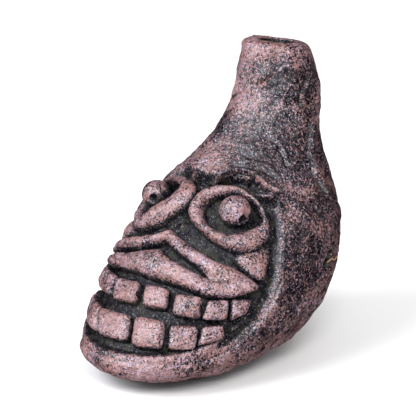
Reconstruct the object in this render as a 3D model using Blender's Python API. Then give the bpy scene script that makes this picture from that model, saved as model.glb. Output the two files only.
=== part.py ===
"""Skull-faced clay whistle: a hollow head with a blowpipe on top, built from separate pieces of clay.

All lengths are in millimetres until a mesh is made. The head rests on the flat of its jaw at Z = 0 and
faces -Y, and the blowpipe stands up at the back. A point on the head is named by an angle, 0 degrees at
the front and 90 at the widest point of the +X side, and by its height.
"""

import math

import bmesh
import bpy
import numpy as np

MM = 0.001

# The head's outline at each height:
# height, front, back, half width, place of the widest point, and how square the front and back halves are
SECTIONS = np.array([
    (0.0, -5.0, 29.0, 11.0, 6.0, 2.1, 1.8),
    (2.0, -14.7, 36.2, 17.2, 7.0, 2.1, 2.0),
    (5.0, -22.2, 42.3, 22.3, 9.5, 2.1, 2.2),
    (10.0, -27.6, 47.8, 27.1, 14.0, 2.1, 2.3),
    (20.0, -21.4, 53.9, 30.2, 22.0, 2.0, 2.3),
    (30.0, -11.4, 57.5, 31.4, 27.0, 1.9, 2.25),
    (40.0, -0.8, 58.1, 30.1, 31.0, 1.85, 2.2),
    (50.0, 10.7, 58.3, 23.8, 37.0, 1.8, 2.1),
    (58.0, 21.1, 59.1, 17.3, 42.0, 1.85, 2.0),
    (65.0, 29.4, 59.9, 14.4, 45.0, 2.0, 2.0),
    (72.0, 33.9, 60.6, 13.1, 47.2, 2.0, 2.0),
    (80.0, 36.0, 59.5, 11.8, 47.7, 2.0, 2.0),
    (88.0, 37.7, 57.8, 10.0, 47.7, 2.0, 2.0),
])
TOTAL_HEIGHT = 88.0
SHELL_TOP = 84.6  # the lip of the blowpipe is folded over the top of the neck
PIPE_AXIS_Y = 47.7

GAP = 0.3  # the slip joint between two pieces of clay
ROOT = -1.6  # how deep a piece is drawn into the head before the head is cut out of it
WALL = 5.6  # measured level; the wall is thinner across the sloping face
FLOOR = 4.0
CAVITY_TOP = 56.0
SEAM_AT_FLOOR, SEAM_LEAN = 30.5, 0.19  # the seam between the shells: y = 30.5 + 0.19 z

# The face is sunk into the front shell, inside a rounded outline
FACE_MID_HEIGHT, FACE_HALF_HEIGHT = 34.0, 21.0
FACE_HALF_ANGLE, FACE_NARROWS_ABOVE, FACE_NARROWING = 66.0, 27.0, 0.5
FACE_DEPTH = 2.2

# The pieces on the face are drawn by their edges, as (angle, height) points.
# Eye rings, outer and inner edge; the head's two eyes differ, as they were rolled by hand
EYE_RING_LEFT = (
    [(4, 46.2), (3.4, 49.4), (8.5, 51.4), (17, 52.4), (29, 52.3), (40.5, 50.7), (49, 48), (54, 44.4),
     (54.6, 40), (47, 37.7), (34, 39.3), (19, 42.2)],
    [(12, 46.8), (13.5, 49), (17.5, 50.4), (24, 51), (31, 50.9), (38, 50), (45.5, 48.2), (50.2, 45.4),
     (49, 43.2), (41.5, 41.7), (32, 41.4), (20.5, 43.2)],
)
EYE_RING_RIGHT = (
    [(-4, 47.8), (-2.6, 49.8), (-8, 51.5), (-20, 52.1), (-34, 51.2), (-47, 48.6), (-54, 44), (-53, 39.6),
     (-43, 37.8), (-29, 39.4), (-18.5, 42.2), (-10, 45.2)],
    [(-17.5, 48), (-16.5, 49.8), (-20, 50.7), (-28, 50.8), (-37, 49.8), (-45.5, 47.2), (-49, 43.8),
     (-47.5, 41.2), (-41.5, 40.2), (-33.5, 41.6), (-27, 44), (-21.5, 46.2)],
)
EYE_RING_RISE = 2.8
# angle, height, and the way the drilled pupil looks
EYEBALL_LEFT = (33.5, 47.0, (0.905, -0.355, -0.23))
EYEBALL_RIGHT = (-37.0, 45.7, (0.45, -0.8, 0.05))
EYEBALL_RADIUS, EYEBALL_LIFT = 4.1, -0.3
PUPIL_RADIUS, PUPIL_DEPTH = 1.2, 1.6

# Folds and lips, upper and lower edge
UPPER_FOLD = (
    [(-61, 28.4), (-50, 32.4), (-36, 35.6), (-20, 38.6), (-8, 40.6), (-1, 41.5), (8, 40.3), (20, 38.2),
     (32, 36), (43.5, 33.8), (53, 31.2), (61, 28.6)],
    [(-60, 27.2), (-50, 29.8), (-34, 33.4), (-18.5, 36.2), (-7, 38.4), (-1, 39.2), (7, 38), (17, 36.2),
     (27, 34.2), (37.5, 31.8), (48, 29.4), (59, 27.6)],
)
UPPER_LIP = (
    [(-55, 27.8), (-46, 29.2), (-34, 32.2), (-22, 34.2), (-10, 36.2), (-2.5, 37), (4, 36.3), (13, 35),
     (24, 33.2), (36, 31), (45, 29.2), (54, 27.8)],
    [(-55, 27.0), (-47, 27.2), (-36, 28.6), (-24, 30.2), (-12, 31.1), (-3, 31.3), (5, 31.1), (14, 30.6),
     (25, 29.5), (37, 28), (46, 27.4), (54, 27.1)],
)
LOWER_LIP = (
    [(-67, 30), (-67.5, 24), (-65, 17.5), (-58, 13), (-48, 11.2), (-30, 11.4), (-14, 12.6), (0, 12.9),
     (14, 12.9), (27, 12.5), (40, 11.7), (51, 11.3), (59, 12.6), (64.5, 15), (67.5, 19.5), (69, 24), (68, 30)],
    [(-72, 30), (-75, 22), (-75, 14), (-70, 8), (-58, 4), (-38, 2.6), (-18, 2.2), (0, 2), (18, 2.2), (38, 2.6),
     (56, 4), (67, 7), (73, 11), (77, 17), (77, 22), (75, 27), (72, 30)],
)
BROW = (
    [(11, 54), (18, 55.9), (27.5, 56.6), (37, 56.1), (45, 54.8), (52, 53.4), (60, 51.4)],
    [(12, 53.2), (19, 54.3), (27.5, 54.9), (37, 54.4), (45, 53), (52, 51.6), (59, 50.6)],
)
FOLD_RISE, LIP_RISE, LOWER_LIP_RISE, BROW_RISE = 2.8, 2.8, 1.2, 1.4

# Corners of the pads and teeth: upper left, upper right, lower right, lower left
CHEEK = [(42, 36.4), (58, 38), (61.3, 31), (54, 32.7)]
CHEEK_RISE = 2.2
UPPER_TEETH = [
    [(-60, 25.8), (-50.5, 26.2), (-52, 21.8), (-60, 21)],
    [(-48.5, 26.3), (-38.5, 26.9), (-38, 22.9), (-50, 21.9)],
    [(-36.5, 27.1), (-24, 28), (-20, 24.2), (-35, 23.1)],
    [(-21.5, 28.2), (-3, 29.1), (1.5, 24.9), (-16.5, 24.2)],
    [(0.5, 29.1), (18.5, 28.9), (22, 24.6), (5, 24.7)],
    [(21.5, 28.1), (35.5, 27), (39, 22.3), (25.5, 23.6)],
    [(38.3, 26.4), (48.3, 26), (51.8, 21.4), (41.2, 21.9)],
    [(50.3, 25.8), (59.5, 25.5), (59.5, 22), (54.5, 21.1)],
]
LOWER_TEETH = [
    [(-55.5, 19), (-45.5, 19.7), (-40.5, 15.4), (-49, 14.6)],
    [(-43, 19.9), (-22.5, 21), (-17, 16.2), (-35, 15.5)],
    [(-19, 20.9), (2.5, 21.8), (6.5, 16.5), (-13.5, 16.1)],
    [(5.5, 21.8), (24, 21.2), (28.5, 15.5), (10.5, 16)],
    [(26.8, 20.9), (40.5, 20.2), (44.8, 14.9), (31.5, 15.3)],
    [(43, 20), (51.8, 19.6), (56, 16.4), (46.8, 15.3)],
]
TOOTH_RISE = 2.6

# The blowpipe, and the round chamber of two cups that hangs from its lower end
PIPE_RADIUS, PIPE_END, PIPE_END_Y = 7.6, 53.0, 44.0
PIPE_RIM_BORE, PIPE_END_BORE = 5.4, 4.2
RIM_TILT = math.radians(8.0)  # the rim leans back
RIM_BLEND = 10.0  # height over which the neck takes up the lean
CHAMBER_HEIGHT, CHAMBER_RADIUS, CHAMBER_WALL, CHAMBER_HOLE = 45.0, 8.0, 2.2, 3.2

PORT_RADIUS, PORT_HEIGHT = 6.0, 33.0  # the sound port in the back shell

AROUND, UP = 60, 30  # facets of the shells
CLAY_ROSE = ("clay_rose", (0.36, 0.18, 0.155), 0.62)
CLAY_DARK = ("clay_dark", (0.13, 0.085, 0.08), 0.58)
CLAY_PLAIN = ("clay_plain", (0.32, 0.16, 0.12), 0.85)


# ---- the head's surface -------------------------------------------------------------------------------

def smooth_curve(knots, values, at):
    """A cubic through the knots that never overshoots them."""
    step = np.diff(knots)
    rise = np.diff(values) / step
    slope = np.concatenate([rise[:1], np.zeros(len(rise) - 1), rise[-1:]])
    for i in range(1, len(rise)):
        if rise[i - 1] * rise[i] > 0:
            slope[i] = 2 / (1 / rise[i - 1] + 1 / rise[i])
    i = np.clip(np.searchsorted(knots, at) - 1, 0, len(step) - 1)
    t = (at - knots[i]) / step[i]
    return (
        (1 + 2 * t) * (1 - t) ** 2 * values[i] + t * (1 - t) ** 2 * step[i] * slope[i]
        + t * t * (3 - 2 * t) * values[i + 1] + t * t * (t - 1) * step[i] * slope[i + 1]
    )


def body(angle, height, inset=0.0):
    """Points on the plain head, or on a level inset of it."""
    angle, height = np.broadcast_arrays(np.radians(angle), np.asarray(height, float))
    at = np.clip(height, 0, TOTAL_HEIGHT)
    front, back, half, widest, front_square, back_square = (
        smooth_curve(SECTIONS[:, 0], SECTIONS[:, k], at) for k in range(1, 7)
    )
    across, along = np.sin(angle), np.cos(angle)
    faces_front = along > 0
    power = 2 / np.where(faces_front, front_square, back_square)
    depth = np.where(faces_front, widest - front, back - widest) - inset
    x = (half - inset) * np.sign(across) * np.abs(across) ** power
    y = widest - np.sign(along) * depth * np.abs(along) ** power
    return np.stack([x, y, height], -1)


def slopes(angle, height):
    """How a point moves for each degree and for each millimetre of height."""
    step = 0.5
    by_angle = (body(angle + step, height) - body(angle - step, height)) / (2 * step)
    by_height = (body(angle, height + step) - body(angle, height - step)) / (2 * step)
    return by_angle, by_height


def outward(angle, height):
    by_angle, by_height = slopes(angle, np.clip(height, 0.6, TOTAL_HEIGHT - 0.6))
    normal = np.cross(by_angle, by_height)
    return normal / np.linalg.norm(normal, axis=-1, keepdims=True)


def in_face(angle, height):
    """1 well inside the sunk face and 0 outside it, with a narrow ramp between."""
    half_angle = FACE_HALF_ANGLE - FACE_NARROWING * np.maximum(height - FACE_NARROWS_ABOVE, 0)
    u = angle / half_angle
    v = (height - FACE_MID_HEIGHT) / FACE_HALF_HEIGHT
    t = np.clip((1.02 - (u ** 4 + v ** 4) ** 0.25) / 0.1, 0, 1)
    return t * t * (3 - 2 * t)


def skin(angle, height, rise=0.0):
    """The clay's surface with the sunk face, and points that stand above it."""
    lift = np.asarray(rise) - FACE_DEPTH * in_face(angle, height)
    return body(angle, height) + outward(angle, height) * lift[..., None]


def bend(points, count, closed=False):
    """A smooth curve through (angle, height) points."""
    p = np.asarray(points, float)
    n = len(p)
    if closed:
        t = np.arange(count) * n / count
        i = np.floor(t).astype(int)
        a, b, c, d = (p[(i + k) % n] for k in (-1, 0, 1, 2))
    else:
        t = np.linspace(0, n - 1, count)
        i = np.minimum(np.floor(t).astype(int), n - 2)
        a, b, c, d = p[np.maximum(i - 1, 0)], p[i], p[i + 1], p[np.minimum(i + 2, n - 1)]
    f = (t - i)[:, None]
    return 0.5 * (2 * b + (c - a) * f + (2 * a - 5 * b + 4 * c - d) * f ** 2 + (3 * b - a - 3 * c + d) * f ** 3)


# ---- meshes -------------------------------------------------------------------------------------------

def material(name, colour, roughness):
    if name in bpy.data.materials:
        return bpy.data.materials[name]
    made = bpy.data.materials.new(name)
    made.use_nodes = True
    shader = made.node_tree.nodes["Principled BSDF"]
    shader.inputs["Base Color"].default_value = (*colour, 1)
    shader.inputs["Roughness"].default_value = roughness
    shader.inputs["Metallic"].default_value = 0
    made.diffuse_color = (*colour, 1)
    return made


def add_piece(name, points, faces, clay, helper=False):
    """A closed piece from points in millimetres, with its origin at its middle."""
    points = np.asarray(points, float) * MM
    middle = (points.min(0) + points.max(0)) / 2
    mesh = bpy.data.meshes.new(name)
    mesh.from_pydata((points - middle).tolist(), [], faces)
    work = bmesh.new()
    work.from_mesh(mesh)
    bmesh.ops.recalc_face_normals(work, faces=work.faces)
    if work.calc_volume(signed=True) < 0:
        bmesh.ops.reverse_faces(work, faces=work.faces)
    work.to_mesh(mesh)
    work.free()
    mesh.shade_smooth()
    mesh.set_sharp_from_angle(angle=math.radians(40))
    mesh.materials.append(material(*clay))
    made = bpy.data.objects.new(name, mesh)
    made.location = middle
    bpy.context.scene.collection.objects.link(made)
    if helper:
        made.hide_render = True
        made.display_type = "WIRE"
    return made


def grid_faces(rows, columns, start=0, closed_rows=False, closed_columns=False):
    """Quads between points numbered row by row."""
    faces = []
    for i in range(rows if closed_rows else rows - 1):
        for j in range(columns if closed_columns else columns - 1):
            a, b = start + i * columns, start + (i + 1) % rows * columns
            k = (j + 1) % columns
            faces.append((a + j, a + k, b + k, b + j))
    return faces


def loft(name, rings, clay, helper=False):
    """A closed piece through rings of points, capped flat at both ends."""
    rings = np.asarray(rings)
    rows, columns = rings.shape[:2]
    faces = grid_faces(rows, columns, closed_columns=True)
    faces += [tuple(range(columns)), tuple(range((rows - 1) * columns, rows * columns))]
    return add_piece(name, rings.reshape(-1, 3), faces, clay, helper)


def turned(name, profile, centre, clay, sides=24, helper=False):
    """A piece turned about a vertical axis from a closed outline of (radius, height)."""
    turn = np.radians(np.arange(sides) * 360 / sides)
    x0, y0 = centre
    rings = [[(x0 + r * math.cos(t), y0 + r * math.sin(t), z) for r, z in profile] for t in turn]
    faces = grid_faces(sides, len(profile), closed_rows=True, closed_columns=True)
    return add_piece(name, np.reshape(rings, (-1, 3)), faces, clay, helper)


def cut(piece, *cutters):
    for cutter in cutters:
        boolean = piece.modifiers.new("cut_" + cutter.name, "BOOLEAN")
        boolean.operation = "DIFFERENCE"
        boolean.object = cutter


# ---- pieces laid on the face --------------------------------------------------------------------------

def dome(u, square=2.0, edge=0.12):
    """The height of a coil or a pellet across it, 1 in the middle and a thin edge at +-1."""
    return edge + (1 - edge) * np.maximum(1 - np.abs(u) ** square, 0) ** (1 / square)


def band(name, upper, lower, rise, steps, closed=False, across=7):
    """A coil or a fold between two edges, drawn a little into the head."""
    high, low = bend(upper, steps, closed), bend(lower, steps, closed)
    v = np.sin(np.linspace(-math.pi / 2, math.pi / 2, across))
    share = (np.concatenate([v, (0.9, 0, -0.9)]) + 1) / 2
    angles = low[:, :1] + (high[:, :1] - low[:, :1]) * share
    heights = low[:, 1:] + (high[:, 1:] - low[:, 1:]) * share
    full = np.ones(steps)
    if not closed:
        s = np.linspace(-1, 1, steps)
        full = 0.4 + 0.6 * np.sqrt(1 - np.clip((np.abs(s) - 0.85) / 0.15, 0, 1) ** 2)
    lift = np.concatenate([GAP + rise * full[:, None] * dome(v), np.full((steps, 3), ROOT)], 1)
    sections = skin(angles, heights, lift)
    if closed:
        faces = grid_faces(steps, len(share), closed_rows=True, closed_columns=True)
        return add_piece(name, sections.reshape(-1, 3), faces, CLAY_ROSE)
    return loft(name, sections, CLAY_ROSE)


def tile(name, corners, rise, square, soft, rings=4, sides=20):
    """A tooth or a pad: a rounded block over the patch between four corners."""
    turn = np.radians(np.arange(sides) * 360 / sides)
    u = np.sign(np.cos(turn)) * np.abs(np.cos(turn)) ** (2 / square)
    v = np.sign(np.sin(turn)) * np.abs(np.sin(turn)) ** (2 / square)
    share = np.sin((np.arange(rings) + 1) / rings * math.pi / 2) ** (2 / soft)
    lift = GAP + rise * dome(share, soft, edge=0.3)
    share, lift = np.append(share, 0.97), np.append(lift, ROOT)
    u, v = np.outer(share, u), np.outer(share, v)
    weights = [(1 - u) * (1 + v), (1 + u) * (1 + v), (1 + u) * (1 - v), (1 - u) * (1 - v)]
    place = sum(w[..., None] / 4 * np.array(corner, float) for w, corner in zip(weights, corners))
    sheet = skin(place[..., 0], place[..., 1], np.repeat(lift[:, None], sides, 1)).reshape(-1, 3)
    angle, height = np.mean(corners, 0)
    ends = skin(np.array([angle, angle]), np.array([height, height]), np.array([GAP + rise, ROOT]))
    faces = grid_faces(rings + 1, sides, closed_columns=True)
    crown, last = (rings + 1) * sides, rings * sides
    for j in range(sides):
        k = (j + 1) % sides
        faces += [(crown, k, j), (crown + 1, last + j, last + k)]
    return add_piece(name, np.vstack([sheet, ends]), faces, CLAY_ROSE)


# ---- the shells and the blowpipe ----------------------------------------------------------------------

def leaned(points):
    """The neck's points, with the rim's lean taken up over its last millimetres."""
    t = np.clip((points[..., 2] - TOTAL_HEIGHT + RIM_BLEND) / RIM_BLEND, 0, 1)
    moved = points.copy()
    moved[..., 2] -= math.tan(RIM_TILT) * (points[..., 1] - PIPE_AXIS_Y) * t
    return moved


def head_rings(rise=0.0, sides=AROUND):
    angles = np.arange(sides) * 360 / sides - 180
    heights = [0, 1, 2.5, 4.5, 7, 9.5] + list(np.linspace(11.5, SHELL_TOP, UP - 6))
    return [leaned(skin(angles, z, np.full(sides, rise))) for z in heights]


def seam_block(name, offset, reach):
    """A block from the seam, moved by offset, to a far plane behind it or, with reach below 0, before it."""
    rings = []
    for z in (-10.0, TOTAL_HEIGHT + 10):
        y = SEAM_AT_FLOOR + SEAM_LEAN * z + offset
        rings.append([(-90, y, z), (90, y, z), (90, y + reach, z), (-90, y + reach, z)])
    return loft(name, rings, CLAY_PLAIN, helper=True)


def pipe_centre(z):
    """The bore leans forward from the rim to its lower end."""
    return PIPE_END_Y + (PIPE_AXIS_Y - PIPE_END_Y) * np.clip((z - PIPE_END) / (76 - PIPE_END), 0, 1)


def circle(radius, z, sides):
    turn = np.arange(sides) * 2 * math.pi / sides - math.pi
    return np.stack([radius * np.sin(turn), pipe_centre(z) - radius * np.cos(turn), np.full(sides, float(z))], -1)


def make_shells():
    """The head and its neck in two hollow halves, with holes for the blowpipe and for the sound."""
    angles = np.arange(40) * 9 - 180
    cavity = loft("cavity", [body(angles, z, WALL) for z in np.linspace(FLOOR, CAVITY_TOP, 14)], CLAY_PLAIN, True)
    clear = PIPE_RADIUS + GAP
    neck_hole = loft("neck_hole", [circle(clear, z, 24) for z in (PIPE_END - 3, PIPE_END, 76, 95)], CLAY_PLAIN, True)
    turn = np.arange(24) * math.pi / 12
    x, z = PORT_RADIUS * np.cos(turn), PORT_HEIGHT + PORT_RADIUS * np.sin(turn)
    port = loft("port", [np.stack([x, np.full(24, y), z], -1) for y in (44.0, 70.0)], CLAY_PLAIN, True)
    behind = seam_block("behind_seam", -GAP / 2, 90)
    before = seam_block("before_seam", GAP / 2, -90)
    cut(loft("face_shell", head_rings(), CLAY_DARK), cavity, neck_hole, behind)
    cut(loft("back_shell", head_rings(), CLAY_ROSE), cavity, neck_hole, port, before)


def make_blowpipe(sides=36):
    """A tube through the neck, with its lip folded out over the neck's top."""
    angles = np.arange(sides) * 360 / sides - 180
    rings = [circle(PIPE_END_BORE, PIPE_END, sides), circle(PIPE_RADIUS, PIPE_END, sides)]
    rings += [circle(PIPE_RADIUS, 76, sides), leaned(circle(PIPE_RADIUS, SHELL_TOP + GAP, sides))]
    rings += [leaned(body(angles, z)) for z in (SHELL_TOP + GAP, 86.6)]
    rim = body(angles, TOTAL_HEIGHT)
    rings.append(leaned(rim + ((0, PIPE_AXIS_Y, TOTAL_HEIGHT) - rim) * 0.08))
    rings.append(leaned(circle(PIPE_RIM_BORE + 0.5, TOTAL_HEIGHT, sides)))
    rings.append(leaned(circle(PIPE_RIM_BORE, TOTAL_HEIGHT - 0.7, sides)))
    rings.append(circle(PIPE_RIM_BORE, 76, sides))
    faces = grid_faces(len(rings), sides, closed_rows=True, closed_columns=True)
    add_piece("blowpipe", np.reshape(rings, (-1, 3)), faces, CLAY_ROSE)


def cup_outline(sign):
    """Half of the chamber's wall, from its open edge to the hole in its middle."""
    outer, inner = CHAMBER_RADIUS, CHAMBER_RADIUS - CHAMBER_WALL
    outline = []
    for radius, order in ((outer, 1), (inner, -1)):
        last = math.acos(CHAMBER_HOLE / radius)
        arc = [(radius * math.cos(t), radius * math.sin(t) + GAP / 2) for t in np.linspace(0, last, 6)][::order]
        outline += arc
    return [(r, CHAMBER_HEIGHT + sign * z) for r, z in outline]


def make_chamber():
    """Two cups edge to edge under the blowpipe, joined to it by a collar of slip."""
    centre = (0, PIPE_END_Y)
    turned("chamber_upper_cup", cup_outline(1), centre, CLAY_PLAIN)
    turned("chamber_lower_cup", cup_outline(-1), centre, CLAY_PLAIN)
    radii = np.linspace(PIPE_END_BORE + 0.4, PIPE_RADIUS, 5)
    clear = CHAMBER_RADIUS + GAP
    under = [(r, CHAMBER_HEIGHT + GAP / 2 + math.sqrt(clear ** 2 - r ** 2)) for r in radii]
    top = PIPE_END - GAP
    collar = under + [(PIPE_RADIUS, top), (PIPE_END_BORE + 0.4, top)]
    turned("chamber_collar", collar, centre, CLAY_PLAIN)


# ---- assembly -----------------------------------------------------------------------------------------

def press_on_head(pieces):
    """Cut the head, and the gap round it, out of the pieces that lie on it."""
    clear_head = loft("clear_head", head_rings(GAP), CLAY_PLAIN, True)
    for piece in pieces:
        cut(piece, clear_head)


def ring_round(middle, way, radius, sides):
    """A circle round a point, square to a direction."""
    level = np.cross(way, (0, 0, 1.0))
    level /= np.linalg.norm(level)
    steep = np.cross(level, way)
    turn = np.radians(np.arange(sides) * 360 / sides)[:, None]
    return middle + radius * (np.cos(turn) * level + np.sin(turn) * steep)


def make_eyeball(side, angle, height, way):
    """A ball with a pupil drilled into it."""
    way = np.array(way) / np.linalg.norm(way)
    angle, height = np.array(angle), np.array(height)
    centre = body(angle, height) + outward(angle, height) * EYEBALL_LIFT
    rings = []
    for polar in np.linspace(0.16, math.pi - 0.16, 13):
        rings.append(ring_round(centre + way * EYEBALL_RADIUS * math.cos(polar), way,
                                EYEBALL_RADIUS * math.sin(polar), 24))
    ball = loft(f"eyeball_{side}", rings, CLAY_ROSE)
    ends = [centre + way * (EYEBALL_RADIUS + reach) for reach in (-PUPIL_DEPTH, 3)]
    drill = loft(f"pupil_drill_{side}", [ring_round(end, way, PUPIL_RADIUS, 14) for end in ends], CLAY_PLAIN, True)
    cut(ball, drill)
    return ball


def mirrored(points):
    return [(-angle, height) for angle, height in points]


def make_eyes():
    return [
        band("eye_ring_left", *EYE_RING_LEFT, EYE_RING_RISE, 40, closed=True),
        band("eye_ring_right", *EYE_RING_RIGHT, EYE_RING_RISE, 40, closed=True),
        make_eyeball("left", *EYEBALL_LEFT),
        make_eyeball("right", *EYEBALL_RIGHT),
    ]


def make_folds():
    upper, lower = BROW
    a, b, c, d = CHEEK
    return [
        band("upper_fold", *UPPER_FOLD, FOLD_RISE, 46),
        band("upper_lip", *UPPER_LIP, LIP_RISE, 40),
        band("lower_lip", *LOWER_LIP, LOWER_LIP_RISE, 48, across=9),
        band("brow_left", upper, lower, BROW_RISE, 16),
        band("brow_right", mirrored(upper), mirrored(lower), BROW_RISE, 16),
        tile("cheek_left", CHEEK, CHEEK_RISE, square=3.6, soft=2.4),
        tile("cheek_right", mirrored([b, a, d, c]), CHEEK_RISE, square=3.6, soft=2.4),
    ]


def make_teeth():
    pieces = []
    for row, teeth in (("upper", UPPER_TEETH), ("lower", LOWER_TEETH)):
        for number, corners in enumerate(teeth, 1):
            pieces.append(tile(f"{row}_tooth_{number}", corners, TOOTH_RISE, square=6.0, soft=4.5))
    return pieces


def main():
    for old in list(bpy.data.objects):
        bpy.data.objects.remove(old)
    make_shells()
    make_blowpipe()
    make_chamber()
    press_on_head(make_eyes() + make_folds() + make_teeth())


main()
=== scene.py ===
"""The looks of a skull-faced clay whistle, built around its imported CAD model.

Lengths are in millimetres until a mesh is made. A point on the head is named by an angle, 0 degrees at
the front and 90 at the widest point of the +X side, and by its height above the floor.
"""

import math

import bmesh
import bpy
import numpy as np
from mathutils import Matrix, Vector


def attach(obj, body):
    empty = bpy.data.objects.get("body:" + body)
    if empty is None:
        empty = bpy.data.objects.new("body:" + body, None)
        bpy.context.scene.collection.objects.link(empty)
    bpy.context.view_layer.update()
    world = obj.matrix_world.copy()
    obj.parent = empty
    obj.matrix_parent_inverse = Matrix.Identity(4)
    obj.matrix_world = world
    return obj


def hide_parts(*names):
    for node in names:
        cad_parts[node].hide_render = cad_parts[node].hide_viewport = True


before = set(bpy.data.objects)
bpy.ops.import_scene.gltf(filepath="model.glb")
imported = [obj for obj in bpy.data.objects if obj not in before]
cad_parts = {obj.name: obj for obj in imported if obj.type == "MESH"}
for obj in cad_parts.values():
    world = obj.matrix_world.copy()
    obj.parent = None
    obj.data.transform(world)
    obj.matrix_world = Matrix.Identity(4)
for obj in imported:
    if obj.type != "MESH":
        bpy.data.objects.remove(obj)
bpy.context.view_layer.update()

MM = 0.001

# The head's outline at each height, just inside the CAD's:
# height, front, back, half width, place of the widest point, and how square the front and back halves are
SECTIONS = np.array([
    (0.0, -6.0, 29.5, 11.0, 6.0, 2.1, 1.8),
    (2.0, -16.8, 36.5, 17.0, 7.0, 2.1, 2.0),
    (5.0, -23.7, 42.8, 22.4, 9.5, 2.1, 2.2),
    (10.0, -27.5, 48.2, 27.0, 14.0, 2.1, 2.3),
    (20.0, -21.2, 54.2, 30.0, 22.0, 2.0, 2.3),
    (30.0, -11.2, 57.2, 31.0, 27.0, 1.9, 2.25),
    (40.0, -0.6, 57.8, 29.8, 31.0, 1.85, 2.2),
    (50.0, 10.8, 58.0, 23.5, 37.0, 1.8, 2.1),
    (58.0, 21.2, 58.8, 17.0, 42.0, 1.85, 2.0),
    (65.0, 29.5, 59.6, 14.2, 45.0, 2.0, 2.0),
    (72.0, 34.0, 60.3, 12.9, 47.2, 2.0, 2.0),
    (80.0, 36.2, 59.2, 11.6, 47.7, 2.0, 2.0),
    (88.0, 37.8, 57.6, 9.9, 47.7, 2.0, 2.0),
])
TOTAL_HEIGHT = 88.0
SHELL_TOP = 84.6
SEAM_AT_FLOOR, SEAM_LEAN = 30.5, 0.19
WALL = 5.6
PORT_RADIUS, PORT_HEIGHT, PORT_IS_BEHIND_Y = 6.0, 33.0, 43.7
PORT_EDGE = 0.9  # over this width the skin turns in through the wall

# The blowpipe: its tube hangs from the rim down inside the neck
PIPE_AXIS_Y, PIPE_END_Y = 47.7, 44.0
PIPE_RADIUS, PIPE_END, PIPE_STRAIGHT_ABOVE = 7.6, 53.0, 76.0
PIPE_RIM_BORE, PIPE_END_BORE = 5.4, 4.2
BORE_BOTTOM = 72.0  # the deepest part of the bore that can be seen
RIM_TILT, RIM_BLEND = math.radians(7.4), 10.0
RIM_ROUND, MOUTH_ROUND = 2.0, 0.8

# The sunk face
FACE_MID_HEIGHT, FACE_HALF_HEIGHT = 34.0, 21.0
FACE_HALF_ANGLE, FACE_NARROWS_ABOVE, FACE_NARROWING = 66.0, 27.0, 0.5
FACE_DEPTH = 2.8
FOOT = -3.8  # where the pieces laid in it end, from the plain head
UNDERSIDE = FOOT - 0.3
TOOTH_CREST, CHEEK_CREST = 0.6, 0.3  # how far they stand above the plain head
COIL_CREST, BROW_CREST_LEFT, BROW_CREST_RIGHT = 0.9, 1.8, 0.4


# ---- the head's surface -------------------------------------------------------------------------------

def smooth_curve(knots, values, at):
    """A cubic through the knots that never overshoots them."""
    step = np.diff(knots)
    rise = np.diff(values) / step
    slope = np.concatenate([rise[:1], np.zeros(len(rise) - 1), rise[-1:]])
    for i in range(1, len(rise)):
        if rise[i - 1] * rise[i] > 0:
            slope[i] = 2 / (1 / rise[i - 1] + 1 / rise[i])
    i = np.clip(np.searchsorted(knots, at) - 1, 0, len(step) - 1)
    t = (at - knots[i]) / step[i]
    return (
        (1 + 2 * t) * (1 - t) ** 2 * values[i] + t * (1 - t) ** 2 * step[i] * slope[i]
        + t * t * (3 - 2 * t) * values[i + 1] + t * t * (t - 1) * step[i] * slope[i + 1]
    )


def body(angle, height, inset=0.0):
    """Points on the plain head, or on a level inset of it."""
    angle, height = np.broadcast_arrays(np.radians(angle), np.asarray(height, float))
    at = np.clip(height, 0, TOTAL_HEIGHT)
    front, back, half, widest, front_square, back_square = (
        smooth_curve(SECTIONS[:, 0], SECTIONS[:, k], at) for k in range(1, 7)
    )
    across, along = np.sin(angle), np.cos(angle)
    faces_front = along > 0
    power = 2 / np.where(faces_front, front_square, back_square)
    depth = np.where(faces_front, widest - front, back - widest) - inset
    x = (half - inset) * np.sign(across) * np.abs(across) ** power
    y = widest - np.sign(along) * depth * np.abs(along) ** power
    return np.stack([x, y, height], -1)


def outward(angle, height):
    """The direction straight out of the plain head, from how a point moves with angle and with height."""
    step, margin = 0.5, 0.6
    height = np.clip(height, margin, TOTAL_HEIGHT - margin)
    by_angle = (body(angle + step, height) - body(angle - step, height)) / (2 * step)
    by_height = (body(angle, height + step) - body(angle, height - step)) / (2 * step)
    normal = np.cross(by_angle, by_height)
    return normal / np.linalg.norm(normal, axis=-1, keepdims=True)


def ease(t):
    """0 below 0, 1 above 1, and a smooth step between."""
    t = np.clip(t, 0, 1)
    return t * t * (3 - 2 * t)


def in_face(angle, height):
    """1 well inside the sunk face and 0 outside it, with a narrow ramp between."""
    half_angle = FACE_HALF_ANGLE - FACE_NARROWING * np.maximum(height - FACE_NARROWS_ABOVE, 0)
    u = angle / half_angle
    v = (height - FACE_MID_HEIGHT) / FACE_HALF_HEIGHT
    return ease((1.02 - (u ** 4 + v ** 4) ** 0.25) / 0.1)


def raised(angle, height, lift):
    """Points at a distance straight out of the plain head."""
    return body(angle, height) + outward(angle, height) * np.asarray(lift)[..., None]


def leaned(points):
    """The neck's points, with the rim's lean taken up over its last millimetres."""
    t = np.clip((points[..., 2] - TOTAL_HEIGHT + RIM_BLEND) / RIM_BLEND, 0, 1)
    moved = points.copy()
    moved[..., 2] -= math.tan(RIM_TILT) * (points[..., 1] - PIPE_AXIS_Y) * t
    return moved


# ---- noise and distances ------------------------------------------------------------------------------

def lattice(i, seed):
    """A fixed random number in -1..1 for each cell corner."""
    h = i[..., 0] * 374761393 + i[..., 1] * 668265263 + i[..., 2] * 1103515245 + seed * 974711
    h = (h ^ (h >> 13)) & 0xFFFFFFFF
    h = (h * 1274126177) & 0xFFFFFFFF
    h = h ^ (h >> 16)
    return (h & 0xFFFF) / 32767.5 - 1


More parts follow.
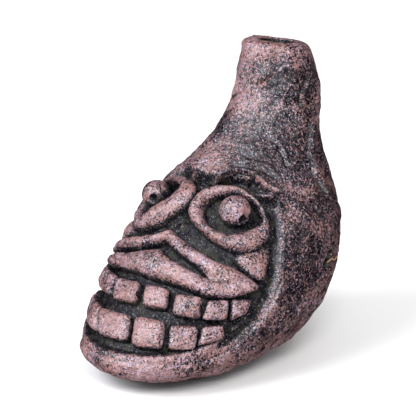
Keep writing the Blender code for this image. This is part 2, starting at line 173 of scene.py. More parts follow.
def noise(points, size, seed):
    """Smooth noise in about -1..1 with lumps of the given size in millimetres."""
    p = points / size + 1000
    cell = np.floor(p).astype(np.int64)
    f = p - cell
    f = f * f * f * (f * (f * 6 - 15) + 10)
    total = 0
    for corner in np.ndindex(2, 2, 2):
        weight = np.prod(np.where(corner, f, 1 - f), -1)
        total = total + weight * lattice(cell + np.array(corner), seed)
    return total * 1.6


def distance_to_line(points, line):
    """The distance of each point to a line through 3-D points, and how far along the nearest point is."""
    best = np.full(points.shape[:-1], 1e9)
    place = np.zeros(points.shape[:-1])
    count = len(line) - 1
    for k in range(count):
        a, b = line[k], line[k + 1]
        d = b - a
        t = np.clip((points - a) @ d / (d @ d), 0, 1)
        gap = np.linalg.norm(points - a - t[..., None] * d, axis=-1)
        nearer = gap < best
        best = np.where(nearer, gap, best)
        place = np.where(nearer, (k + t) / count, place)
    return best, place


def bend(points, count, closed=False):
    """A smooth curve through control points, evenly split between them."""
    p = np.asarray(points, float)
    n = len(p)
    if closed:
        t = np.linspace(0, n, count, endpoint=False)
        i = np.floor(t).astype(int)
        a, b, c, d = p[(i - 1) % n], p[i % n], p[(i + 1) % n], p[(i + 2) % n]
    else:
        t = np.linspace(0, n - 1, count)
        i = np.minimum(np.floor(t).astype(int), n - 2)
        a, b, c, d = p[np.maximum(i - 1, 0)], p[i], p[i + 1], p[np.minimum(i + 2, n - 1)]
    f = (t - i)[:, None]
    square, cube = 2 * a - 5 * b + 4 * c - d, 3 * b - a - 3 * c + d
    return 0.5 * (2 * b + (c - a) * f + square * f ** 2 + cube * f ** 3)


def on_head(points):
    """The 3-D line over the plain head through (angle, height) points."""
    curve = bend(points, 60)
    return body(curve[:, 0], curve[:, 1])


# ---- the head's own relief ----------------------------------------------------------------------------

# Grooves pressed or scratched in the head: (angle, height) points, depth, half width
SIDE_GROOVE = [(50, 50), (54.5, 47), (57.5, 43.8), (60, 39.5), (62, 36), (64, 32), (66, 27.5), (65.5, 22),
               (63, 18), (58, 15.2), (52, 14)]
GROOVES = [
    (SIDE_GROOVE, 2.2, 1.25),
    ([(-a, z) for a, z in SIDE_GROOVE], 1.7, 1.3),
    ([(-8, 53.5), (-5.5, 49.8), (0.5, 46.8), (4, 44)], 1.2, 1.3),
    ([(-40, 50.6), (-28, 52), (-16.5, 53.1), (-6, 53.4), (3, 52.9)], 0.9, 0.7),
    ([(17, 57), (29.5, 56.9), (41, 56.3), (49, 55.3), (60, 53.4)], 0.6, 0.55),
    ([(17, 53), (25, 53.9), (35, 53.4), (43, 52.2), (53, 50.8)], 1.5, 0.9),
    ([(37, 53.6), (41, 53.3), (45, 52.7)], 1.6, 0.9),
    ([(38, 51.3), (47.5, 49.7), (54, 48.7), (59, 48)], 1.8, 0.8),
    ([(-36, 53), (-22, 55.4), (-12, 57)], 0.4, 0.45),
    ([(-46, 54), (-34, 56.4), (-20, 58.5)], 0.3, 0.4),
    ([(53, 61), (61, 59), (65, 56)], 0.6, 0.5),
    ([(97, 80.5), (84, 77.8), (71.5, 74), (75, 71)], 0.9, 0.4),
    ([(93, 66.5), (90, 62), (86.5, 58.5), (84, 56)], 0.9, 0.4),
    ([(86, 54.5), (93, 51.5), (98.5, 48)], 0.9, 0.5),
    ([(84, 47), (93, 42), (98, 38)], 0.6, 0.5),
    ([(-54, 70.3), (-29, 73.3)], 0.9, 0.35),
]
# Low swellings: (angle, height) points, rise, half width
SWELLINGS = [
    ([(28, 57.9), (40, 57.5), (50, 56.5), (60, 54.6)], 0.5, 0.7),
    ([(24, 52.7), (35, 52), (44.5, 50.7), (51, 49.9), (60, 49.5)], 1.2, 0.6),
    ([(-12, 54.3), (-24, 54.8), (-38, 53.6)], 0.5, 1.2),
    ([(104, 80.5), (92, 77), (79, 73.5), (83, 70)], 0.6, 0.8),
    ([(99, 66), (97, 61), (93, 57), (92, 52)], 0.7, 0.9),
    ([(92, 56), (100, 51), (104, 46)], 0.6, 1.0),
    ([(52, 63), (60, 60.6), (64.5, 57.5)], 0.6, 0.7),
]
# Pinholes and chips: (angle, height), depth, radius
PITS = [
    ((-2.5, 43.2), 1.6, 0.8), ((57, 17.6), 2.2, 1.3), ((47.5, 9), 1.0, 0.8), ((46, 8.4), 0.7, 0.5),
    ((101, 29.3), 3.2, 1.9), ((102.5, 31.8), 1.8, 1.3), ((9, 30.8), 0.4, 0.4), ((31, 24.8), 0.5, 0.4),
]


# The hand-worked unevenness: size of the lumps, their height, seed
LUMPS = [(9.0, 0.36, 3), (4.0, 0.2, 5), (1.7, 0.09, 8), (0.8, 0.05, 11)]
FLOOR_FADE = 4.0  # the unevenness fades out over this height, so that the whistle stands flat


def clay_noise(points):
    """How far the worked surface stands out at each point, the same for every piece."""
    lift = sum(height * noise(points, size, seed) for size, height, seed in LUMPS)
    for (angle, height), depth, radius in PITS:
        gap = np.linalg.norm(points - body(float(angle), float(height)), axis=-1)
        lift = lift - depth * np.exp(-((gap / radius) ** 4))
    return lift


def head_relief(angle, height):
    """How far the head's own surface stands out from the plain head."""
    points = body(angle, height)
    lift = -FACE_DEPTH * in_face(angle, height)
    for line, depth, half in GROOVES:
        gap, place = distance_to_line(points, on_head(line))
        ends = ease(np.minimum(place, 1 - place) * 8)
        lift = lift - depth * ends * np.exp(-((gap / half) ** 2))
    for line, rise, half in SWELLINGS:
        gap, place = distance_to_line(points, on_head(line))
        ends = ease(np.minimum(place, 1 - place) * 6)
        lift = lift + rise * ends * np.exp(-((gap / half) ** 2))
    return lift + ease(height / FLOOR_FADE) * clay_noise(points)


# Where the black stain was left on or rubbed off: (angle, height), radius in mm, amount
STAINS = [
    ((96, 34), 24, 0.3), ((110, 55), 20, 0.25), ((84, 21), 12, 0.5), ((74, 36), 9, 0.35),
    ((97, 79), 8, 0.4), ((18, 81), 4.5, 0.35), ((51, 78), 6, 0.6), ((38, 67), 5, 0.3),
    ((-18, 64.5), 4.5, 0.45), ((30, 61), 7, 0.7), ((58, 58), 7, 0.5), ((-42, 65), 4, 0.3),
    ((24, 56), 5, 0.3), ((-4, 12), 5, 0.45), ((50, 11), 5, 0.25), ((-50, 8), 9, 0.25),
    ((72, 13), 6, 0.35), ((-36, 73), 6, -0.25), ((6, 72), 4.5, -0.2), ((-50, 56), 8, 0.25),
    ((78, 50), 4, -0.25), ((97, 20), 5, -0.3), ((33, 7.5), 6, -0.15), ((150, 50), 30, 0.35),
    ((180, 20), 22, 0.2), ((-110, 40), 26, 0.35),
]
STAIN_EVERYWHERE = 0.2


def stain(points):
    """How much black stain each point holds."""
    amount = np.full(points.shape[:-1], STAIN_EVERYWHERE)
    for (angle, height), radius, change in STAINS:
        middle = body(np.array(float(angle)), np.array(float(height)))
        gap = np.linalg.norm(points - middle, axis=-1)
        amount += change * np.exp(-((gap / radius) ** 2))
    return amount


# ---- meshes -------------------------------------------------------------------------------------------

def mesh_piece(name, points, faces, material, fields=None, replaces=()):
    """A piece from points in millimetres, with a float attribute for each field."""
    mesh = bpy.data.meshes.new(name)
    points = np.asarray(points)
    mesh.from_pydata((points * MM).tolist(), [], faces)
    for key, values in {**(fields or {}), "stain": stain(points)}.items():
        layer = mesh.attributes.new(key, "FLOAT", "POINT")
        layer.data.foreach_set("value", np.asarray(values, np.float32).ravel())
    work = bmesh.new()
    work.from_mesh(mesh)
    bmesh.ops.remove_doubles(work, verts=work.verts, dist=1e-6)
    bmesh.ops.dissolve_degenerate(work, edges=work.edges, dist=1e-7)
    bmesh.ops.recalc_face_normals(work, faces=work.faces)
    work.to_mesh(mesh)
    work.free()
    mesh.shade_smooth()
    mesh.materials.append(material)
    made = bpy.data.objects.new(name, mesh)
    bpy.context.scene.collection.objects.link(made)
    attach(made, "root")
    if replaces:
        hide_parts(*replaces)
    return made


def clay_piece(name, points, faces, hollow, slot="clay_rose"):
    """A piece of stained clay in place of the CAD node of the same name."""
    return mesh_piece(name, np.reshape(points, (-1, 3)), faces, CLAY, {"hollow": hollow}, [name])


def grid_faces(rows, columns, closed_rows=False, closed_columns=False):
    """The four-sided faces of a sheet of points numbered row by row."""
    i = np.arange(rows if closed_rows else rows - 1)[:, None]
    j = np.arange(columns if closed_columns else columns - 1)[None]
    a, b = i * columns, (i + 1) % rows * columns
    k = (j + 1) % columns
    return np.stack([a + j, a + k, b + k, b + j], -1).reshape(-1, 4).tolist()


# ---- pieces laid on the face --------------------------------------------------------------------------

def dome(u, square=2.0):
    """A bump from 0 at -1 and 1 up to 1 in the middle, flatter on top when it is squarer."""
    return np.maximum(1 - np.abs(u) ** square, 0) ** (1 / square)


def sunk(lift):
    """0 on a piece's crest and 1 on its sides, down where the stain stays."""
    return 1 - ease((lift + 2.2) / 2.4)


def laid_top(angles, heights, lift):
    """A piece's upper surface, uneven only where it stands clear of its foot."""
    return raised(angles, heights, lift + clay_noise(body(angles, heights)) * ease((lift - FOOT) / 2))


def grown(points, middle, share):
    return middle + (points - middle) * share


def band(name, upper, lower, crest, square=2.4, closed=False, steps=220, across=40, blunt=0.06, roll=None,
         grow=1.2):
    """A coil or a fold between an upper and a lower edge, each a list of (angle, height).

    The edges are where it shows above the face, so it is grown by a share to reach down behind them.
    """
    high, low = bend(upper, steps, closed)[:, None], bend(lower, steps, closed)[:, None]
    v = np.sin(np.linspace(-math.pi / 2, math.pi / 2, across))
    share = ((v + 1) / 2)[None, :]
    places = grown(low + (high - low) * share[..., None], (low + high) / 2, grow)
    s = np.linspace(0, 1, steps)[:, None]
    end = np.ones((steps, 1))
    if not closed:
        end = dome(np.clip(1 - np.minimum(s, 1 - s) / blunt, 0, 1))
        places = grown(places, places.mean(1, keepdims=True), (0.25 + 0.75 * end)[..., None])
    shape = dome(v, square)[None, :] if roll is None else roll(share, s)
    lift = FOOT + (crest - FOOT) * shape * (0.35 + 0.65 * end)
    angles, heights = places[..., 0], places[..., 1]
    foot = raised(angles, heights, np.full(angles.shape, UNDERSIDE))
    sheet = np.concatenate([laid_top(angles, heights, lift), foot[:, ::-1]], 1)
    width = 2 * across
    faces = grid_faces(steps, width, closed_rows=closed, closed_columns=True)
    if not closed:
        faces += [list(range(width)), list(range((steps - 1) * width, steps * width))]
    return clay_piece(name, sheet, faces, np.concatenate([sunk(lift), np.ones(angles.shape)], 1))


def tile(name, corners, crest, square=6.0, soft=4.5, grow=1.16, rings=24, sides=80):
    """A tooth or a pad: a rounded block over the four-sided patch (angle, height) corners."""
    turn = np.arange(sides) * 2 * math.pi / sides
    u = np.sign(np.cos(turn)) * np.abs(np.cos(turn)) ** (2 / square)
    v = np.sign(np.sin(turn)) * np.abs(np.sin(turn)) ** (2 / square)
    share = np.sin(np.linspace(0, math.pi / 2, rings))
    u, v = np.outer(share, u), np.outer(share, v)
    corners = np.asarray(corners, float)
    corners = grown(corners, corners.mean(0), grow)
    weight = [(1 - u) * (1 + v), (1 + u) * (1 + v), (1 + u) * (1 - v), (1 - u) * (1 - v)]
    place = sum(w[..., None] / 4 * corner for w, corner in zip(weight, corners))
    angles, heights = place[..., 0], place[..., 1]
    lift = FOOT + (crest - FOOT) * np.repeat(dome(share, soft)[:, None], sides, 1)
    foot = raised(angles[-1:], heights[-1:], np.full((1, sides), UNDERSIDE))
    sheet = np.concatenate([laid_top(angles, heights, lift), foot], 0)
    faces = grid_faces(rings + 1, sides, closed_columns=True)
    faces.append(list(range(rings * sides, (rings + 1) * sides)))
    return clay_piece(name, sheet, faces, np.concatenate([sunk(lift), np.ones((1, sides))], 0))


PUPIL_HALF_ANGLE, PUPIL_DEPTH, PUPIL_LIP = 18.0, 1.4, 0.22
EYEBALL_UNEVENNESS = 0.45


def eyeball(name, angle, height, look, radius, lift, sides=90, rings=60):
    """A pressed ball with a pupil poked in it where it looks."""
    centre = raised(np.array(angle), np.array(height), np.array(lift))
    axis = outward(np.array(angle), np.array(height))
    side = np.cross(axis, (0, 0, 1))
    side /= np.linalg.norm(side)
    up = np.cross(side, axis)
    polar = np.linspace(0, 2.6, rings)[:, None]
    turn = (np.arange(sides) * 2 * math.pi / sides)[None]
    way = (
        np.cos(polar)[..., None] * axis
        + (np.sin(polar) * np.cos(turn))[..., None] * side
        + (np.sin(polar) * np.sin(turn))[..., None] * up
    )
    look = np.asarray(look, float) / np.linalg.norm(look)
    off = np.degrees(np.arccos(np.clip(way @ look, -1, 1)))
    hole = ease((PUPIL_HALF_ANGLE - off) / 4)
    lip = np.exp(-(((off - PUPIL_HALF_ANGLE - 2) / 4) ** 2))
    size = radius + PUPIL_LIP * lip - PUPIL_DEPTH * hole
    points = centre + way * size[..., None]
    points = points + way * clay_noise(points)[..., None] * EYEBALL_UNEVENNESS
    faces = grid_faces(rings, sides, closed_columns=True)
    faces.append(list(range((rings - 1) * sides, rings * sides)))
    return clay_piece(name, points, faces, np.maximum(hole, ease((way @ -axis + 0.35) / 0.5)))


# ---- the shells ---------------------------------------------------------------------------------------

def seam_angle(heights):
    """The angle at which the seam crosses the head at each height."""
    tries = np.linspace(40, 180, 1401)
    found = []
    for z in heights:
        y = body(tries, z)[:, 1]
        seam = SEAM_AT_FLOOR + SEAM_LEAN * z
        found.append(np.interp(seam, y, tries) if y[-1] > seam else 180.0)
    return np.array(found)


def shell(front, columns, rows):
    """The skin of the front or the back half, up to the blowpipe's lip, and how hollow it is."""
    t = np.linspace(0, 1, rows)
    heights = SHELL_TOP * (0.25 * t ** 2 + 0.75 * t)
    edge = seam_angle(heights)[:, None]
    s = np.linspace(-1, 1, columns)[None]
    angles = s * edge if front else 180 - s * (180 - edge)
    heights = np.repeat(heights[:, None], columns, 1)
    lift = head_relief(angles, heights)
    points = leaned(raised(angles, heights, lift))
    points[0, :, 2] = 0
    return points.reshape(-1, 3), grid_faces(rows, columns), ease((-lift - 0.3) / 1.7).ravel()


def pierce(points, faces, hollow):
    """The sound port: its edge is turned in through the wall, and the middle is left open."""
    gap = np.hypot(points[:, 0], points[:, 2] - PORT_HEIGHT)
    gap = np.where(points[:, 1] > PORT_IS_BEHIND_Y, gap, np.inf)
    inward = ease((PORT_RADIUS - gap) / PORT_EDGE)
    points[:, 1] -= WALL * inward
    hollow = np.maximum(hollow, 1.4 * inward)
    open_middle = gap < PORT_RADIUS - 1.0
    faces = [face for face in faces if not open_middle[face].all()]
    used = np.unique(np.array(faces))
    number = np.full(len(points), -1)
    number[used] = np.arange(len(used))
    return points[used], number[np.array(faces)].tolist(), hollow[used]


def make_shells():
    columns = 420
    points, faces, hollow = shell(True, columns, 420)
    middle_of_base = len(points)
    faces += [[middle_of_base, j + 1, j] for j in range(columns - 1)]
    points = np.vstack([points, (0, 5.0, 0)])
    clay_piece("face_shell", points, faces, np.append(hollow, 0), "clay_dark")
    clay_piece("back_shell", *pierce(*shell(False, 220, 240)))


def make_blowpipe(sides=120):
    """A closed tube: up its outside, round the lip, which is the neck's own skin, and down the bore."""
    angles = np.arange(sides) * 360 / sides - 180
    turn = np.radians(angles)

    def circle(radius, z):
        straight = min(max((z - PIPE_END) / (PIPE_STRAIGHT_ABOVE - PIPE_END), 0), 1)
        y0 = PIPE_END_Y + (PIPE_AXIS_Y - PIPE_END_Y) * straight
        x, y = radius * np.sin(turn), y0 - radius * np.cos(turn)
        return np.stack([x, y, np.full(sides, float(z))], -1)

    def skin(inset, z):
        ring = body(angles, z, inset)
        return ring + outward(angles, np.full(sides, z)) * clay_noise(ring)[:, None]

    rings = [circle(PIPE_END_BORE, PIPE_END), circle(PIPE_RADIUS, PIPE_END), circle(PIPE_RADIUS, SHELL_TOP)]
    edge = TOTAL_HEIGHT - RIM_ROUND
    rings += [skin(0, z) for z in np.linspace(SHELL_TOP, edge, 10)]
    for turned in np.linspace(0, math.pi / 2, 14)[1:]:
        rings.append(skin(RIM_ROUND * (1 - math.cos(turned)), edge + RIM_ROUND * math.sin(turned)))
    rim_top = len(rings)
    bore = circle(PIPE_RIM_BORE + MOUTH_ROUND, TOTAL_HEIGHT)
    for share in np.linspace(0, 1, 8)[1:]:
        rings.append(rings[-1] + (bore - rings[-1]) * share)
    for turned in np.linspace(0, math.pi / 2, 10)[1:]:
        radius = PIPE_RIM_BORE + MOUTH_ROUND * (1 - math.sin(turned))
        rings.append(circle(radius, TOTAL_HEIGHT - MOUTH_ROUND * (1 - math.cos(turned))))
    inside_mouth = len(rings) - 4
    rings += [circle(PIPE_RIM_BORE, z) for z in np.linspace(TOTAL_HEIGHT - 2 * MOUTH_ROUND, BORE_BOTTOM, 30)]
    points = np.array(rings)
    wobble = clay_noise(points) * ease((points[..., 2] - BORE_BOTTOM) / 6) * 0.6
    wobble[:rim_top] = 0
    points[..., 2] += wobble
    faces = grid_faces(len(rings), sides, closed_rows=True, closed_columns=True)
    hollow = np.zeros(points.shape[:2])
    # Painted shade: from the mouth down, the bore is painted black where the hole is dark from lack of light
    hollow[inside_mouth:] = 1.5
    clay_piece("blowpipe", leaned(points), faces, hollow)


FIBRE_PATH = [(29.6, 34.4, 29.4), (30.3, 35.6, 30.4), (30.7, 36.6, 30), (30.6, 37.6, 30.6)]
FIBRE_RADIUS = 0.22
STRAW_DARK, STRAW_PALE = (0.25, 0.13, 0.05, 1), (0.5, 0.33, 0.16, 1)


def make_fibre(steps=24, sides=8):
    """A bit of straw stuck in the chip in the side, thinner towards its tip."""
    path = bend(FIBRE_PATH, steps)
    turn = np.arange(sides) * 2 * math.pi / sides
    thick = FIBRE_RADIUS * (1 - 0.5 * np.linspace(0, 1, steps))[:, None, None]
    ring = np.stack([np.cos(turn), np.zeros(sides), np.sin(turn)], -1)
    points = path[:, None, :] + thick * ring
    faces = grid_faces(steps, sides, closed_columns=True)
    faces += [list(range(sides)), list(range((steps - 1) * sides, steps * sides))]
    straw = Nodes("straw")
    straw.feed(straw.shader.inputs["Base Color"], straw.mix(straw.noise(0.5, 2, 0.6), STRAW_DARK, STRAW_PALE))
    straw.shader.inputs["Roughness"].default_value = 0.6
    mesh_piece("straw_fibre", points.reshape(-1, 3), faces, straw.material)


# ---- the face -----------------------------------------------------------------------------------------

# Upper and lower edges as (angle, height). Left is the +X side, on the right of who faces the face.
# A ring has its outer and inner edge in place of upper and lower.
EYE_RING_LEFT = (
    [(4, 46.2), (3.4, 49.4), (8.5, 51.4), (17, 52.4), (29, 52.3), (40.5, 50.7), (49, 48), (54, 44.4),
     (54.6, 40), (47, 37.7), (34, 39.3), (19, 42.2)],
    [(13, 47), (14.5, 49), (18.5, 50.2), (24, 50.8), (31, 50.7), (38, 49.8), (45, 48.2), (49.6, 45.4),
     (48.6, 43.6), (41.5, 42.1), (32, 41.9), (21, 43.6)],
)
EYE_RING_RIGHT = (
    [(-4, 47.8), (-2.6, 49.8), (-8, 51.5), (-20, 52.1), (-34, 51.2), (-47, 48.6), (-54, 44), (-53, 39.6),
     (-43, 37.8), (-29, 39.4), (-18.5, 42.2), (-10, 45.2)],
    [(-20.5, 48), (-19.5, 49.8), (-22.5, 50.5), (-29, 50.4), (-37, 49.2), (-44, 47.2), (-47.5, 44),
     (-46, 41.6), (-41, 40.9), (-34, 42.2), (-28, 44.4), (-23.5, 46.4)],
)
FOLD = (
    [(-62, 27.6), (-50, 32), (-36, 35.2), (-20, 38.3), (-8, 40.3), (-1, 41.3), (8, 40.1), (20, 38),
     (32, 35.8), (43.5, 33.8), (53.5, 31), (61, 28)],
    [(-61, 26.4), (-50, 29.6), (-34, 33.2), (-18.5, 36), (-7, 38.3), (-1, 39.1), (7, 37.9), (17, 36.1),
     (27, 34.1), (37.5, 31.2), (47, 28.8), (57, 27.2)],
)
LIP = (
    [(-56, 28), (-46, 29.6), (-34, 32), (-22, 33.9), (-10, 36), (-2.5, 36.9), (4, 36.1), (13, 34.9),
     (24, 33.2), (36, 31.4), (48, 31), (58, 28.8)],
    [(-56, 26.6), (-47, 27), (-36, 28.4), (-24, 30.2), (-12, 31.1), (-3, 31.3), (5, 31.1), (14, 30.6),
     (25, 29.5), (37, 27.6), (48, 26.8), (59, 27.4)],
)
LOWER_LIP = (
    [(-67, 30), (-67.5, 24), (-65, 17.5), (-58, 13), (-48, 11.2), (-30, 11.4), (-14, 12.6), (0, 12.9),
     (14, 12.9), (27, 12.5), (40, 11.7), (51, 11.3), (59, 12.6), (64.5, 15), (67.5, 19.5), (69, 24),
     (68, 31)],
    [(-72, 30), (-75, 22), (-75, 14), (-70, 8), (-58, 4), (-38, 2.6), (-18, 2.2), (0, 2), (18, 2.2),
     (38, 2.6), (56, 4), (67, 7), (73, 11), (77, 17), (77, 22), (75, 27), (72, 31)],
)
BROW_LEFT = (
    [(12.5, 53.4), (18, 55.2), (27.5, 56), (37, 55.5), (45, 54.1), (52, 52.7), (60, 50.9)],
    [(13.5, 52), (19, 53.9), (27.5, 54.7), (37, 54.2), (44.5, 52.7), (51, 51.3), (59, 49.9)],
)
BROW_RIGHT = [[(-a, z) for a, z in edge] for edge in BROW_LEFT]
CHEEK_LEFT = [(39.5, 37.2), (59, 39.2), (62.5, 28.8), (52, 31.9)]
CHEEK_RIGHT = [(-a, z) for a, z in CHEEK_LEFT[1::-1] + CHEEK_LEFT[:1:-1]]

# Each eyeball's angle and height, the way it looks, its radius, and its middle's distance from the plain head
EYEBALLS = {
    "eyeball_left": (34, 46.9, (0.905, -0.355, -0.23), 4.5, -0.4),
    "eyeball_right": (-37, 45.8, (0.45, -0.8, 0.05), 4.4, 0.4),
}

# Each tooth's corners: upper left, upper right, lower right, lower left
UPPER_TEETH = [
    [(-60, 25.6), (-50, 26.2), (-52, 21.8), (-60, 21)],
    [(-48, 26.4), (-38, 27.2), (-38, 23), (-50, 22)],
    [(-37, 27.4), (-24, 28), (-19.5, 24.5), (-35, 23.4)],
    [(-21.5, 27.9), (-3.5, 29.2), (2, 25.1), (-15.5, 24.2)],
    [(3.5, 29.1), (17, 28.8), (20.5, 24.8), (8, 24.9)],
    [(22.5, 27.8), (35, 27.1), (39, 22.4), (25.5, 23.6)],
    [(39, 26.3), (48, 26.2), (52, 21.4), (41, 22)],
    [(49.8, 26.1), (59, 25.4), (59.5, 22.2), (54.5, 20.9)],
]
LOWER_TEETH = [
    [(-56, 19), (-46, 19.8), (-41, 15.4), (-49, 14.6)],
    [(-44, 19.9), (-22, 21.1), (-16, 16.3), (-34, 15.6)],
    [(-19.5, 21), (3, 22), (7, 16.6), (-13.5, 16.2)],
    [(7, 22.1), (23, 21.5), (28.5, 15.4), (12, 15.9)],
    [(27.5, 20.8), (40, 20.2), (45, 14.6), (32, 15.3)],
    [(43, 20), (51.5, 19.9), (55.5, 16.5), (46, 15.3)],
]


def lip_roll(share, _):
    """The lower lip's section: steep at its upper edge and running out into the jaw below."""
    top = dome(np.clip((share - 0.72) / 0.28, 0, 1), 2.2)
    run_out = 0.72 + 0.28 * ease(share / 0.55)
    return top * run_out


def fold_roll(share, s):
    """The fold's section: a round coil that is smeared into the lip along its last third."""
    coil = dome(2 * share - 1, 2.4)
    smeared = dome(np.clip((share - 0.6) / 0.4, 0, 1), 2.2) * (0.84 + 0.16 * ease(share / 0.55))
    smear = ease((s - 0.72) / 0.1)
    return coil + (smeared - coil) * smear


def make_face():
    for name, edges in (("eye_ring_left", EYE_RING_LEFT), ("eye_ring_right", EYE_RING_RIGHT)):
        band(name, *edges, COIL_CREST, square=2.2, closed=True, steps=300, grow=1.38)
    for name, measures in EYEBALLS.items():
        eyeball(name, *measures)
    band("upper_fold", *FOLD, COIL_CREST, steps=360, roll=fold_roll, grow=1.32)
    band("upper_lip", *LIP, COIL_CREST, square=2.6, steps=320)
    band("lower_lip", *LOWER_LIP, COIL_CREST, steps=420, across=60, roll=lip_roll, grow=1.0)
    band("brow_left", *BROW_LEFT, BROW_CREST_LEFT, square=2.0, grow=1.1)
    band("brow_right", *BROW_RIGHT, BROW_CREST_RIGHT, square=2.0)
    for name, corners in (("cheek_left", CHEEK_LEFT), ("cheek_right", CHEEK_RIGHT)):
        tile(name, corners, CHEEK_CREST, square=3.6, soft=2.4)
    for row, teeth in (("upper", UPPER_TEETH), ("lower", LOWER_TEETH)):
        for number, corners in enumerate(teeth, 1):
            tile(f"{row}_tooth_{number}", corners, TOOTH_CREST)


# ---- materials ----------------------------------------------------------------------------------------

class Nodes:
    """Short calls for laying out a material's nodes."""

    def __init__(self, name):
        self.material = bpy.data.materials.new(name)
        self.material.use_nodes = True
        self.tree = self.material.node_tree
        self.shader = self.tree.nodes["Principled BSDF"]

    def add(self, kind, settings=None, **inputs):
        """A node with its settings, and with values or links on its named inputs."""
        node = self.tree.nodes.new(kind)
        for key, value in (settings or {}).items():
            setattr(node, key, value)
        for key, value in inputs.items():
            self.feed(node.inputs[key.replace("_", " ")], value)
        return node

    def feed(self, socket, value):
        if isinstance(value, bpy.types.NodeSocket):
            self.tree.links.new(value, socket)
        else:
            socket.default_value = value

    def field(self, name):
        """A float attribute of the mesh."""
        return self.add("ShaderNodeAttribute", {"attribute_name": name}).outputs["Fac"]

    def math(self, what, a, b, clamp=False):
        node = self.add("ShaderNodeMath", {"operation": what, "use_clamp": clamp})
        self.feed(node.inputs[0], a)
        self.feed(node.inputs[1], b)
        return node.outputs[0]

    def noise(self, size_mm, detail, rough, shift=0.0):
        """Noise in 0..1 about 0.5 with lumps of about the given size."""
        where = self.add("ShaderNodeTexCoord").outputs["Object"]
        moved = self.add("ShaderNodeMapping", Vector=where, Location=(shift, shift * 0.7, -shift))
        node = self.add(
            "ShaderNodeTexNoise", Vector=moved.outputs[0], Scale=1 / (size_mm * MM), Detail=detail,
            Roughness=rough,
        )
        return node.outputs["Fac"]

    def span(self, value, low, high, to_low=0.0, to_high=1.0):
        """A smooth step of value from to_low at low to to_high at high."""
        node = self.add("ShaderNodeMapRange", {"interpolation_type": "SMOOTHSTEP"})
        for socket, number in zip(node.inputs, (value, low, high, to_low, to_high)):
            self.feed(socket, number)
        return node.outputs[0]

    def mix(self, share, a, b):
        node = self.add("ShaderNodeMix", {"data_type": "RGBA"})
        self.feed(node.inputs[0], share)
        self.feed(node.inputs[6], a)
        self.feed(node.inputs[7], b)
        return node.outputs[2]


ROSE_LIGHT, ROSE_DEEP = (0.345, 0.176, 0.158, 1), (0.2, 0.102, 0.094, 1)
BLACK, OLIVE = (0.004, 0.0032, 0.008, 1), (0.024, 0.023, 0.016, 1)
# PAINTED_GLINT_GREY is painted glints: pale grey specks on the black that stand in for glints off the glaze
# PAINTED_SHEEN_LILAC is a painted sheen: lilac specks in the base colour that stand in for glossy highlights
PAINTED_SHEEN_LILAC, PAINTED_GLINT_GREY = (0.43, 0.40, 0.56, 1), (0.42, 0.41, 0.46, 1)
SHADE_REACH = 4.0  # how near a neighbour has to be to hold stain against it
MOST_STAIN = 1.15  # outside the hollows some grains stay bare however much stain there is
GRAIN_WEIGHT = 4.6
BUMP_DEPTH = 0.22


def make_clay():
    """Rose clay under a black stain that stays in hollows and patches and is rubbed off the raised grains,
    with lilac specks of painted sheen on the rose and pale specks of painted glints on the black.
    """
    n = Nodes("stained_clay")
    hollow, amount = n.field("hollow"), n.field("stain")
    shade = n.add("ShaderNodeAmbientOcclusion", {"samples": 12}, Distance=SHADE_REACH * MM)
    closed_in = n.math("POWER", n.math("SUBTRACT", 1.0, shade.outputs["AO"], True), 1.3)
    patches = n.noise(8.0, 5, 0.68, 0.3)
    blotches = n.noise(2.4, 3, 0.6, 0.9)
    grain = n.noise(0.8, 4, 0.8, 1.7)
    fine = n.noise(0.45, 2, 0.7, 2.9)

    dark = n.math("MULTIPLY", closed_in, 2.0)
    dark = n.math("ADD", dark, n.math("MULTIPLY", amount, 1.3))
    for value, weight in ((patches, 2.6), (blotches, 1.3)):
        dark = n.math("ADD", dark, n.math("MULTIPLY", n.math("SUBTRACT", value, 0.5), weight))
    dark = n.math("MINIMUM", dark, MOST_STAIN)
    dark = n.math("ADD", dark, hollow)
    speckle = n.math("ADD", n.math("MULTIPLY", grain, GRAIN_WEIGHT), n.math("MULTIPLY", fine, GRAIN_WEIGHT))
    dark = n.math("ADD", dark, n.math("SUBTRACT", speckle, GRAIN_WEIGHT))
    stained = n.span(dark, 0.54, 0.66)

    rose = n.mix(n.span(n.noise(0.9, 3, 0.75, 4.1), 0.38, 0.62), ROSE_DEEP, ROSE_LIGHT)
    # Painted sheen: lilac specks over the rose that stand in for glossy highlights, denser in broad patches
    painted_sheen = n.span(n.noise(0.5, 2, 0.7, 6.7), 0.5, 0.6)
    painted_sheen = n.math("MULTIPLY", painted_sheen, n.span(n.noise(7.0, 3, 0.6, 8.1), 0.38, 0.62, 0.25, 1.0))
    rose = n.mix(n.math("MULTIPLY", painted_sheen, 0.7), rose, PAINTED_SHEEN_LILAC)
    olive = n.math("MULTIPLY", n.span(n.noise(2.2, 4, 0.8, 5.3), 0.46, 0.58), n.span(hollow, 0.15, 0.7))
    black = n.mix(olive, BLACK, OLIVE)
    # Painted glints: pale specks on the black that stand in for glints off the glaze
    painted_glints = n.math("MULTIPLY", n.span(n.noise(0.45, 2, 0.7, 9.3), 0.62, 0.68), 0.6)
    black = n.mix(painted_glints, black, PAINTED_GLINT_GREY)

    n.feed(n.shader.inputs["Base Color"], n.mix(stained, rose, black))
    n.feed(n.shader.inputs["Roughness"], n.span(blotches, 0.3, 0.7, 0.36, 0.22))
    n.feed(n.shader.inputs["Specular IOR Level"], n.span(hollow, 0.2, 0.9, 0.5, 0.12))
    pits = n.math("ADD", n.math("MULTIPLY", grain, 1.2), n.math("MULTIPLY", fine, 0.6))
    pits = n.math("ADD", pits, blotches)
    bump = n.add("ShaderNodeBump", Strength=1.0, Distance=BUMP_DEPTH * MM, Height=pits)
    n.feed(n.shader.inputs["Normal"], bump.outputs[0])
    return n.material


# ---- the studio ---------------------------------------------------------------------------------------

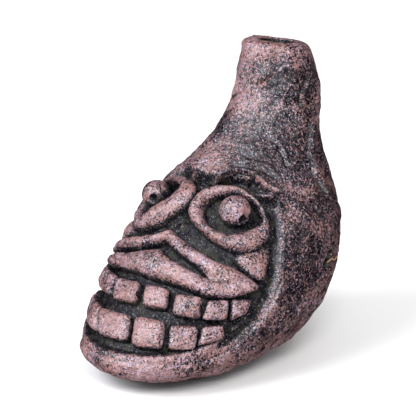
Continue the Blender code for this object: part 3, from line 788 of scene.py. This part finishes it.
CAMERA_AZIMUTH, CAMERA_ELEVATION = math.radians(40), math.radians(17)
CAMERA_SPOT = (368.66, -422.67, 219.44)
CAMERA_LENS = 180.9
LIGHT_TARGET = (0, 0.02, 0.04)
# Lights: name, place in metres, size in metres, power in watts, colour, whether it makes only glints
LIGHTS = [
    ("key", (-0.3, -0.8, 0.75), 0.8, 13, (0.93, 0.95, 1), False),
    ("spark", (-0.15, -0.85, 0.75), 0.2, 26, (0.88, 0.92, 1), True),
    ("side", (0.64, -0.55, 0.8), 0.5, 8, (1, 1, 1), False),
]
WORLD_STRENGTH = 0.7
FLOOR_RADIUS, FLOOR_SIDES = 3.0, 64


def place(made, spot, way):
    """Links a camera or a light into the scene at spot, looking along way with Z up."""
    made.location = spot
    made.rotation_mode = "QUATERNION"
    made.rotation_quaternion = Vector(way).to_track_quat("-Z", "Y")
    bpy.context.scene.collection.objects.link(made)


def make_camera():
    data = bpy.data.cameras.new("camera")
    data.lens = CAMERA_LENS
    data.sensor_width = 36
    data.clip_start = 0.01
    camera = bpy.data.objects.new("camera", data)
    level = math.cos(CAMERA_ELEVATION)
    ahead = (-math.sin(CAMERA_AZIMUTH) * level, math.cos(CAMERA_AZIMUTH) * level, -math.sin(CAMERA_ELEVATION))
    place(camera, [v * MM for v in CAMERA_SPOT], ahead)
    bpy.context.scene.camera = camera


def make_light(name, spot, size, power, colour, only_glints):
    data = bpy.data.lights.new(name, "AREA")
    data.shape = "DISK"
    data.size = size
    data.energy = power
    data.color = colour
    light = bpy.data.objects.new(name, data)
    light.visible_diffuse = not only_glints
    place(light, spot, [t - s for t, s in zip(LIGHT_TARGET, spot)])


def make_floor():
    """A round sheet of white paper that the glaze doesn't mirror."""
    mesh = bpy.data.meshes.new("floor")
    turn = np.arange(FLOOR_SIDES) * 2 * math.pi / FLOOR_SIDES
    rim = [(FLOOR_RADIUS * math.cos(t), FLOOR_RADIUS * math.sin(t), 0) for t in turn]
    mesh.from_pydata(rim, [], [list(range(FLOOR_SIDES))])
    paper = bpy.data.materials.new("floor_paper")
    paper.use_nodes = True
    shader = paper.node_tree.nodes["Principled BSDF"]
    shader.inputs["Base Color"].default_value = (0.94, 0.94, 0.94, 1)
    shader.inputs["Roughness"].default_value = 0.9
    mesh.materials.append(paper)
    floor = bpy.data.objects.new("floor", mesh)
    bpy.context.scene.collection.objects.link(floor)
    floor.visible_glossy = False


def make_studio():
    world = bpy.data.worlds.new("studio")
    world.use_nodes = True
    background = world.node_tree.nodes["Background"]
    background.inputs["Color"].default_value = (1, 1, 1, 1)
    background.inputs["Strength"].default_value = WORLD_STRENGTH
    world.cycles_visibility.glossy = False
    bpy.context.scene.world = world
    make_floor()
    for light in LIGHTS:
        make_light(*light)
    bpy.context.scene.view_settings.view_transform = "Standard"


CLAY = make_clay()
make_camera()
make_studio()
make_shells()
make_blowpipe()
make_face()
make_fibre()
# The pieces out of sight inside stay as the CAD has them, in the same clay
for name in ("chamber_upper_cup", "chamber_lower_cup", "chamber_collar"):
    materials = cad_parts[name].data.materials
    materials.clear()
    materials.append(CLAY)
